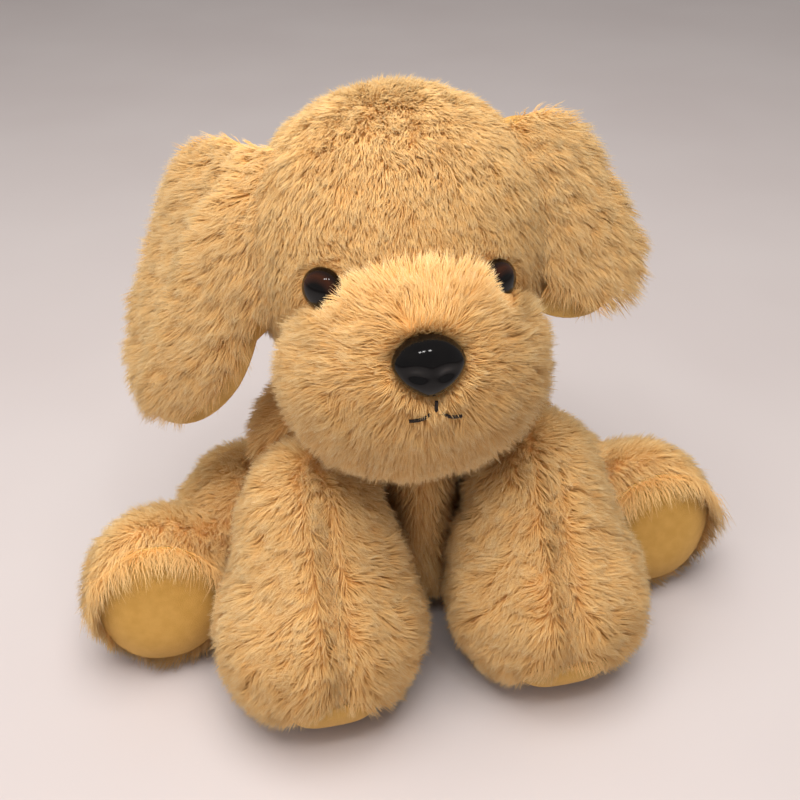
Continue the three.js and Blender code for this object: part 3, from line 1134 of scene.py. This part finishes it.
def buried(skin, others):
    """Which points of a skin are deep inside one of the others."""
    hidden = np.zeros(len(skin.points), bool)
    for other in others:
        low, high = other.points.min(axis=0), other.points.max(axis=0)
        close = np.all((skin.points > low) & (skin.points < high), axis=1) & ~hidden
        tree = BVHTree.FromPolygons(other.points.tolist(), other.triangles.tolist())
        for i in np.flatnonzero(close):
            place, normal, _, away = tree.find_nearest(skin.points[i])
            hidden[i] = away > BURIED and (Vector(skin.points[i]) - place).dot(normal) < 0
    return hidden


FILLING_IN = 2.0 * MM
FINENESS = 5

skins = {}
for name, covering in COVERINGS.items():
    nodes = [f"{name}_{part}" for part in covering["parts"]]
    outer = outermost(nodes, FINENESS, covering["rounds"])
    depth = covering["pile"].length(outer.points) * SUNK
    if "groove" in covering:
        depth = depth + covering["groove"](outer.points)
    points = outer.moved_in(depth).points
    points[:, 2] = np.maximum(points[:, 2], FLOOR_SKIN)
    skins[name] = Skin(points, outer.triangles)

for name, covering in COVERINGS.items():
    skin, body = skins[name], covering["body"]
    cloth = mesh_object(f"{name}_skin", skin.points, skin.triangles, BACKING)
    dress(cloth, body, f"{name}_cover")
    inner = skin.shrunk(FILLING_IN)
    fibre = mesh_object(f"{name}_fibre", inner.points, inner.triangles, FILLING)
    dress(fibre, body, f"{name}_stuffing")
    bare = covering.get("bare")
    if "sole" in covering["parts"]:
        sole = Sole(f"{name}_sole")
        sole.patch(body, covering["crown"])
        if "fringe" in covering:
            sole.fringe(body, covering["fringe"])
        bare = sole.under
    hidden = buried(skin, [other for key, other in skins.items() if key != name])
    grow(name, skin, covering["pile"], body, covering["share"], covering["panels"], hidden, bare)


# ---- Ears ----

EARS = {
    "ear_left": {
        "root": mm(33, -24.5, 228),
        "middle": mm(55, -35, 195.5),
        "looks": (0.386, -0.757, 0.53),
        "radii": mm(41, 28),
        "fold": 0.0,
        "inner_side": -1,
        "shoulder": mm(14, 14),
        "lining_shift": mm(-1, -9),
    },
    "ear_right": {
        "root": mm(-51.5, -11, 222),
        "middle": mm(-80, -16, 167),
        "looks": (-0.728, -0.592, 0.346),
        "radii": mm(58, 36),
        "fold": 7.0 * MM,
        "inner_side": 1,
        "shoulder": mm(24, 10),
        "lining_shift": mm(6, 0),
    },
}
EAR_FRINGE = 6 * MM  # how far the pile reaches past the cloth's edge
EAR_CUP = 5 * MM
EAR_SLOPE = 4 * MM  # how far the outer edge lies back
LINING_TRAVEL = 2.0 * MM  # the furthest that the simulation may move the lining
EAR_STRANDS = 1.3  # as a share of STRANDS
EAR_RINGS = 16
EAR_AROUND = 64


class Ear:
    """The leaf that an ear is cut from: its middle, its ways and its size."""

    def __init__(self, root, middle, looks, radii, fold, inner_side, shoulder, lining_shift):
        self.root = with_head(root)
        self.centre = with_head(middle)
        self.looks = with_head(unit(np.array(looks, float)), is_direction=True)
        along = self.centre - self.root
        self.along = unit(along - self.looks * (along @ self.looks))
        self.across = np.cross(self.looks, self.along)
        self.radii = radii
        self.fold = fold
        self.inner = self.across * inner_side
        self.shoulder = shoulder
        self.lining_shift = lining_shift

    def flow(self, places):
        """Away from the root and the middle, and off the raised side of the fold."""
        inner = eased((places - self.centre) @ self.across, -8 * MM, 8 * MM)[:, None]
        sewn = self.root - self.along * 12 * MM
        down = mixed((away_from(sewn), 1), (away_from(self.centre), 0.4), (towards(0, 0, -1), 0.2))
        return down(places) - self.across * inner * 0.9

    def pile_length(self, places):
        """Shorter where the ear is sewn to the head."""
        down = (places - self.centre) @ self.along / self.radii[0]
        return PILE * (0.6 + 0.6 * eased(down, -0.95, -0.45))

    def bent(self, flat):
        """How far a place on the flat leaf is lifted by the ear's cup, its slope and its fold."""
        down = (flat - self.centre) @ self.along / self.radii[0]
        inwards = (flat - self.centre) @ self.inner / self.radii[1]
        from_edge = 1 - min(1, math.hypot(down, inwards)) ** 4
        raised = self.fold * float(eased(inwards, 0.0, 0.18)) * from_edge
        return raised - EAR_CUP * inwards**2 + EAR_SLOPE * min(inwards, 0)

    def sheet(self, fringe, height, rise, shift=(0, 0)):
        """A disc over the leaf, at a height at its edge and a rise at its middle."""
        TIP_FULLER, ROOT_FULLER = 0.12, 0.45  # how much wider than an ellipse the two ends are
        length, width = self.radii - fringe
        middle = self.centre + self.along * shift[0] + self.across * shift[1]
        points = []
        for ring in range(EAR_RINGS + 1):
            share = math.sin(math.pi / 2 * ring / EAR_RINGS)
            for k in range(EAR_AROUND if ring else 1):
                angle = 2 * math.pi * k / EAR_AROUND
                a = share * math.cos(angle)
                b = share * math.sin(angle)
                fuller = TIP_FULLER if a > 0 else -ROOT_FULLER
                b *= 1 + fuller * math.cos(angle)
                corner = max(-a, 0) * max(b * (self.inner @ self.across), 0)
                place = middle + self.along * (a * length - corner * self.shoulder[0])
                place = place + self.across * b * width + self.inner * corner * self.shoulder[1]
                lift = height + rise * math.sqrt(max(0, 1 - share**2)) + self.bent(place)
                points.append(place + self.looks * lift)
        return np.array(points)


for name, shape in EARS.items():
    ear = Ear(**shape)
    front = ear.sheet(EAR_FRINGE, height=-3.0 * MM, rise=2.4 * MM)
    front_back = ear.sheet(EAR_FRINGE, height=-4.2 * MM, rise=0.6 * MM)
    hem = EAR_FRINGE / 2
    lining_front = ear.sheet(hem, height=-4.8 * MM, rise=0.2 * MM, shift=ear.lining_shift)
    lining_back = ear.sheet(hem, height=-5.4 * MM, rise=-2.0 * MM, shift=ear.lining_shift)
    faces = disc_faces(EAR_RINGS, EAR_AROUND)
    a, b, c = front[faces[0]]
    if np.cross(b - a, c - a) @ ear.looks < 0:
        faces = faces[:, ::-1]
    outer = mesh_object(f"{name}_skin", *closed_pad(front, front_back, faces, EAR_AROUND), VELOUR)
    dress(outer, name, f"{name}_fur")
    pad = closed_pad(lining_front, lining_back, faces, EAR_AROUND)
    lining = mesh_object(f"{name}_velour", *pad, VELOUR)
    rim = len(lining_front) - 2 * EAR_AROUND
    sewn = [*range(len(lining_front)), *range(len(lining_front) + rim, len(pad[0]))]
    puffed(lining, sewn, LINING_TRAVEL)
    dress(lining, name, f"{name}_lining")
    pile = Pile(ear.flow, ear.pile_length, even(24), wander=0.42)
    grow(name, Skin(front, faces), pile, name, EAR_STRANDS, "x")


# ---- Mouth ----

MOUTH_SUNK = 1.5 * MM  # how far the thread is drawn into the pile
MOUTH_FACING = with_head(unit(np.array([0, -0.98, -0.2])), is_direction=True)
for stroke in ("middle", "left", "right"):
    node = f"mouth_stitch_{stroke}"
    points, triangles = node_triangles([node])
    made = mesh_object(f"{node}_thread", points - MOUTH_FACING * MOUTH_SUNK, triangles, THREAD)
    dress(made, "head", node)


# ---- Neck ----

NECK_RADII = mm(33, 30, 14)
NECK_LOWER = 2 * MM
NECK_STRANDS = 0.25  # as a share of STRANDS
ways, faces = sphere(4)
neck = Skin(NECK - UP * NECK_LOWER + ways * NECK_RADII, faces)
collar = mesh_object("neck_skin", neck.points, neck.triangles, BACKING)
dress(collar, "neck")
collar_pile = Pile(towards(0, 0, -1), even(PILE), even(20))
grow("neck", neck, collar_pile, "neck", NECK_STRANDS, "x")


# ---- CAD pieces that stay ----

KEPT = {"neck_stuffing": FILLING, "washer": WASHER}
for name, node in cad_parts.items():
    for part, material in KEPT.items():
        if part in name:
            node.data.materials.clear()
            node.data.materials.append(material)


# ---- Floor and light ----


LIT_PLACE = Vector((0, -0.03, 0.1))
WARM = (1.0, 0.97, 0.93)
DAYLIGHT = (1.0, 0.97, 0.95)
AMBIENT = (0.80, 0.76, 0.74, 1)
AMBIENT_STRENGTH = 0.46
CEILING_LAMPS = (-0.3, -0.16, 0.05)  # how far across each one hangs


def make_floor():
    """A pale table top."""
    HALF = 8.0
    made = Shader("pale_table", Roughness=0.45, Specular_IOR_Level=0.3)
    made.colour(made.ramp(made.noise(6), [(0.3, (200, 191, 190)), (0.7, (204, 196, 195))]))
    corners = [(-HALF, -HALF, 0), (HALF, -HALF, 0), (HALF, HALF, 0), (-HALF, HALF, 0)]
    mesh_object("table", corners, [(0, 1, 2, 3)], made.material)


def area_light(name, place, size, power, colour, glints=False):
    """A round light that looks at the middle of the puppy; only the small ones show in gloss."""
    light = bpy.data.lights.new(name, "AREA")
    light.shape = "DISK"
    light.size = size
    light.energy = power
    light.color = colour
    lamp = bpy.data.objects.new(name, light)
    lamp.location = place
    aim = LIT_PLACE - Vector(place)
    lamp.rotation_euler = aim.to_track_quat("-Z", "Y").to_euler()
    lamp.visible_glossy = glints
    bpy.context.scene.collection.objects.link(lamp)


make_floor()
area_light("overhead", (-0.12, -0.22, 1.1), size=1.0, power=13.2, colour=WARM)
area_light("window", (-0.9, -0.6, 0.8), size=0.6, power=2.5, colour=DAYLIGHT)
for number, across in enumerate(CEILING_LAMPS):
    place = (across, -0.5, 0.95)
    name = f"ceiling_lamp_{number}"
    area_light(name, place, size=0.09, power=0.6, colour=DAYLIGHT, glints=True)
world = bpy.data.worlds.new("studio")
world.use_nodes = True
background = world.node_tree.nodes["Background"]
background.inputs["Color"].default_value = AMBIENT
background.inputs["Strength"].default_value = AMBIENT_STRENGTH
bpy.context.scene.world = world
bpy.context.scene.view_settings.view_transform = "Standard"
